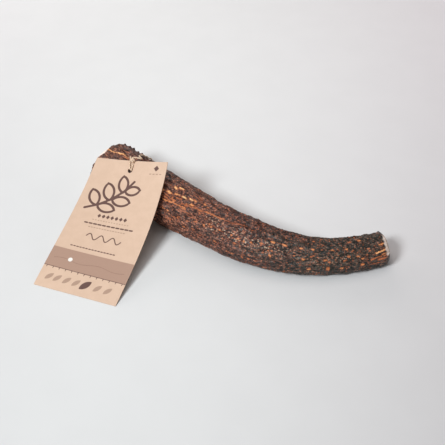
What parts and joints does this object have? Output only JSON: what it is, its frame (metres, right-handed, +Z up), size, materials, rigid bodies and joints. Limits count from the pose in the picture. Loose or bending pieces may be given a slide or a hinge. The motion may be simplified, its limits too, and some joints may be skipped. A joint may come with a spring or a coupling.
{
  "type": "deer antler",
  "caption": "Curved length of ridged deer antler, sawn and sanded at both ends, with a printed card tag tied round it on natural twine.",
  "frame": {"origin": "on the ground, under the middle of the whole object's bounding box", "axes": "+Z up; +X along the antler's length, from its thick end to its thin end; -Y towards the side where the card's foot stands"},
  "size_m": [0.2592, 0.1586, 0.0499],
  "materials": {
    "antler": "ridged dark brown skin with a slight sheen, tan on its ridges; cream, sanded and porous at the cuts",
    "card": "uncoated peach card with a plain brown printed pattern and a tinted band",
    "twine": "two-ply natural twine, cream to tan, with loose fibres"
  },
  "bodies": {
    "root": {"antler": "antler", "tag": "card", "twine": "twine", "twine_knot": "twine"}
  },
  "joints": []
}
